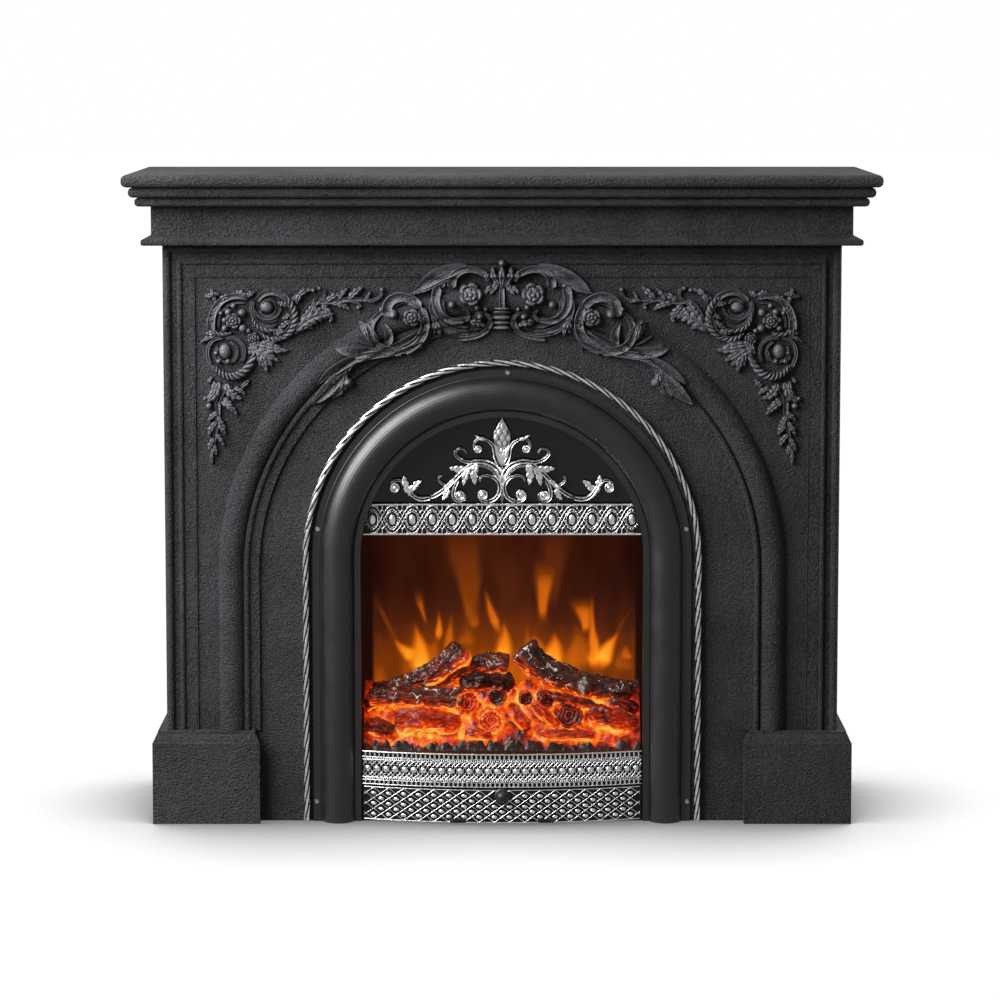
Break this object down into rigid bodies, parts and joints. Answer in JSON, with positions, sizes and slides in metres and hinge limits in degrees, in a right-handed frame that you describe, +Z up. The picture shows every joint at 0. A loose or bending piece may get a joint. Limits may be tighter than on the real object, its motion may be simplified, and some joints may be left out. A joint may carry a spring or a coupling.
{
  "type": "electric fireplace with mantel",
  "caption": "Free-standing electric fireplace: a dark carved mantel round an arched insert with log fire, silver frets, fan heater and a drop-down control flap.",
  "frame": {"origin": "on the floor, under the middle of the shelf's width and depth", "axes": "+X to the right seen from the front, +Y from the front to the wall, +Z up"},
  "size_m": [1.2, 0.33, 1.05],
  "materials": {
    "mantel_black": "painted charcoal black with a fine cast grain, satin",
    "carved_black": "cast resin painted charcoal black, satin",
    "raw_board": "unpainted board, sawn",
    "antique_silver": "antique silver with black recesses, cast",
    "satin_black": "smooth satin black enamel",
    "dark_screw": "darkened steel",
    "zinc": "zinc plated sheet",
    "dark_sheet": "matt black painted sheet",
    "flame_screen": "translucent screen lit from behind by the flame effect",
    "embers": "translucent moulded embers with dark crust, lit from below",
    "bark": "moulded resin bark, semi-gloss",
    "black_plastic": "black moulded plastic",
    "red_plastic": "red translucent moulded plastic",
    "pot_metal": "plated steel can",
    "heater_wire": "resistance rods in end plates",
    "fan_aluminium": "bare aluminium",
    "bearing_brass": "sintered bronze bush on a bracket",
    "circuit_board": "green lacquered board with parts",
    "nylon": "natural nylon"
  },
  "bodies": {
    "fireplace": {"shelf_board": "mantel_black", "bed_moulding": "mantel_black", "frieze_box": "mantel_black", "frieze_moulding": "mantel_black", "front_panel": "mantel_black", "side_panel_left": "mantel_black", "side_panel_right": "mantel_black", "border_moulding": "mantel_black", "arch_moulding": "mantel_black", "plinth_left": "mantel_black", "plinth_right": "mantel_black", "corner_ornament_left": "carved_black", "corner_ornament_right": "carved_black", "crest_ornament": "carved_black", "rope_trim": "antique_silver", "wall_rail": "raw_board", "floor_rail": "raw_board", "corner_blocks": "raw_board", "frame_left": "satin_black", "frame_right": "satin_black", "frame_screws": "dark_screw", "firebox_shell": "dark_sheet", "base_tray": "zinc", "rear_cover": "dark_sheet", "cover_screws": "zinc", "upper_plate": "dark_sheet", "heater_shelf": "zinc", "flame_screen": "flame_screen", "ember_stand": "dark_sheet", "ember_bed": "embers", "log_back": "bark", "log_left": "bark", "log_right": "bark", "log_front": "bark", "upper_band": "antique_silver", "crest_fret": "antique_silver", "bowed_band": "antique_silver", "flap_brackets": "zinc", "hinge_pins": "zinc", "control_panel": "dark_sheet", "switch_bodies": "black_plastic", "thermostat_body": "pot_metal", "heater_duct": "zinc", "heating_element": "heater_wire", "fan_motor": "pot_metal", "fan_bearing": "bearing_brass", "spindle_motor": "pot_metal", "spindle_bearing": "bearing_brass", "led_board": "circuit_board", "control_board": "circuit_board", "board_standoffs": "nylon", "cord_gland": "black_plastic"},
    "flap": {"fret_flap": "antique_silver", "flap_knob": "satin_black"},
    "flame_switch": {"rocker_flame": "red_plastic"},
    "heat_low_switch": {"rocker_heat_low": "red_plastic"},
    "heat_high_switch": {"rocker_heat_high": "red_plastic"},
    "dial": {"thermostat_dial": "black_plastic"},
    "fan": {"fan_wheel": "fan_aluminium"},
    "flame_rod": {"flame_spindle": "fan_aluminium"}
  },
  "joints": [
    {"name": "flap_hinge", "type": "hinge", "parent": "fireplace", "child": "flap", "pos_m": [0, -0.1315, 0.0065], "axis": [1, 0, 0], "range_deg": [0, 60]},
    {"name": "flame_switch_rock", "type": "hinge", "parent": "fireplace", "child": "flame_switch", "pos_m": [-0.09, -0.098, 0.03], "axis": [1, 0, 0], "range_deg": [0, 14]},
    {"name": "heat_low_switch_rock", "type": "hinge", "parent": "fireplace", "child": "heat_low_switch", "pos_m": [-0.055, -0.098, 0.03], "axis": [1, 0, 0], "range_deg": [0, 14]},
    {"name": "heat_high_switch_rock", "type": "hinge", "parent": "fireplace", "child": "heat_high_switch", "pos_m": [-0.02, -0.098, 0.03], "axis": [1, 0, 0], "range_deg": [0, 14]},
    {"name": "thermostat_turn", "type": "hinge", "parent": "fireplace", "child": "dial", "pos_m": [0.052, -0.099, 0.03], "axis": [0, -1, 0], "range_deg": [0, 270]},
    {"name": "fan_spin", "type": "hinge", "parent": "fireplace", "child": "fan", "pos_m": [0, 0.035, 0.52], "axis": [1, 0, 0], "continuous": true},
    {"name": "flame_rod_spin", "type": "hinge", "parent": "fireplace", "child": "flame_rod", "pos_m": [0, 0.06, 0.14], "axis": [1, 0, 0], "continuous": true}
  ]
}
